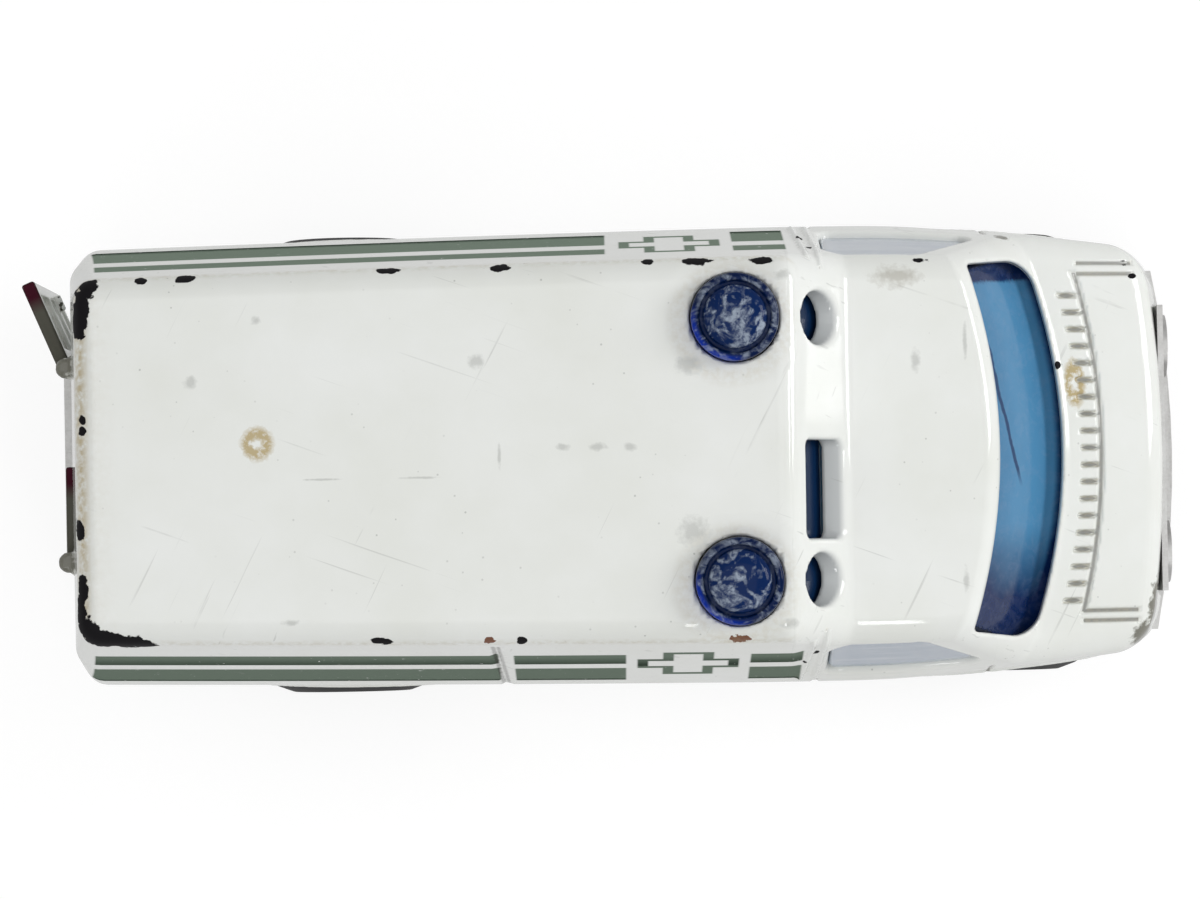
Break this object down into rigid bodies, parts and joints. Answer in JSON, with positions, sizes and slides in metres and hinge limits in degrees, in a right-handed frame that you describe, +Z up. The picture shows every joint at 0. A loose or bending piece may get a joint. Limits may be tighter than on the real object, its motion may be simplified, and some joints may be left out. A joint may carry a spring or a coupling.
{
  "type": "toy ambulance",
  "caption": "Die-cast toy ambulance van with a raised roof, blue beacons and glazing, swinging rear doors and free-rolling wheels.",
  "frame": {"origin": "on the ground under the middle of the toy's length, midway between the bumper and the tip of the open left rear door, on the centre line", "axes": "+X forward, +Y to the vehicle's left, +Z up"},
  "size_m": [0.0696, 0.028, 0.0312],
  "materials": {
    "white_paint": "gloss white enamel, chipped to dark metal along the edges",
    "bare_metal": "unpainted cast metal, dulled by handling",
    "blue_clear": "clear blue plastic, polished with light scuffs",
    "navy_clear": "deep blue clear plastic with chalky scuffs",
    "cream_plastic": "matt moulded plastic",
    "steel_wire": "plain drawn steel",
    "black_plastic": "black moulded plastic, dusty in the corners",
    "hub_silver": "silver plated plastic"
  },
  "bodies": {
    "body": {"body_shell": "white_paint", "base_plate": "bare_metal", "cab_glazing": "blue_clear", "front_lamp_lens": "navy_clear", "beacon_left": "navy_clear", "beacon_right": "navy_clear", "interior_tray": "cream_plastic", "front_axle": "steel_wire", "rear_axle": "steel_wire", "base_rivets": "steel_wire"},
    "door_left": {"rear_door_left": "white_paint"},
    "door_right": {"rear_door_right": "white_paint"},
    "front_left_wheel": {"wheel_front_left": "black_plastic", "hub_front_left": "hub_silver"},
    "front_right_wheel": {"wheel_front_right": "black_plastic", "hub_front_right": "hub_silver"},
    "rear_left_wheel": {"wheel_rear_left": "black_plastic", "hub_rear_left": "hub_silver"},
    "rear_right_wheel": {"wheel_rear_right": "black_plastic", "hub_rear_right": "hub_silver"}
  },
  "joints": [
    {"name": "door_left_hinge", "type": "hinge", "parent": "body", "child": "door_left", "pos_m": [-0.03211, 0.00575, 0.0129], "axis": [0, 0, 1], "range_deg": [0, 157]},
    {"name": "door_right_hinge", "type": "hinge", "parent": "body", "child": "door_right", "pos_m": [-0.03211, -0.00575, 0.0129], "axis": [0, 0, 1], "range_deg": [0, 157]},
    {"name": "front_left_roll", "type": "hinge", "parent": "body", "child": "front_left_wheel", "pos_m": [0.02399, 0.01165, 0.00525], "axis": [0, 1, 0], "continuous": true},
    {"name": "front_right_roll", "type": "hinge", "parent": "body", "child": "front_right_wheel", "pos_m": [0.02399, -0.01165, 0.00525], "axis": [0, 1, 0], "continuous": true},
    {"name": "rear_left_roll", "type": "hinge", "parent": "body", "child": "rear_left_wheel", "pos_m": [-0.01621, 0.0122, 0.00525], "axis": [0, 1, 0], "continuous": true},
    {"name": "rear_right_roll", "type": "hinge", "parent": "body", "child": "rear_right_wheel", "pos_m": [-0.01621, -0.0122, 0.00525], "axis": [0, 1, 0], "continuous": true}
  ]
}
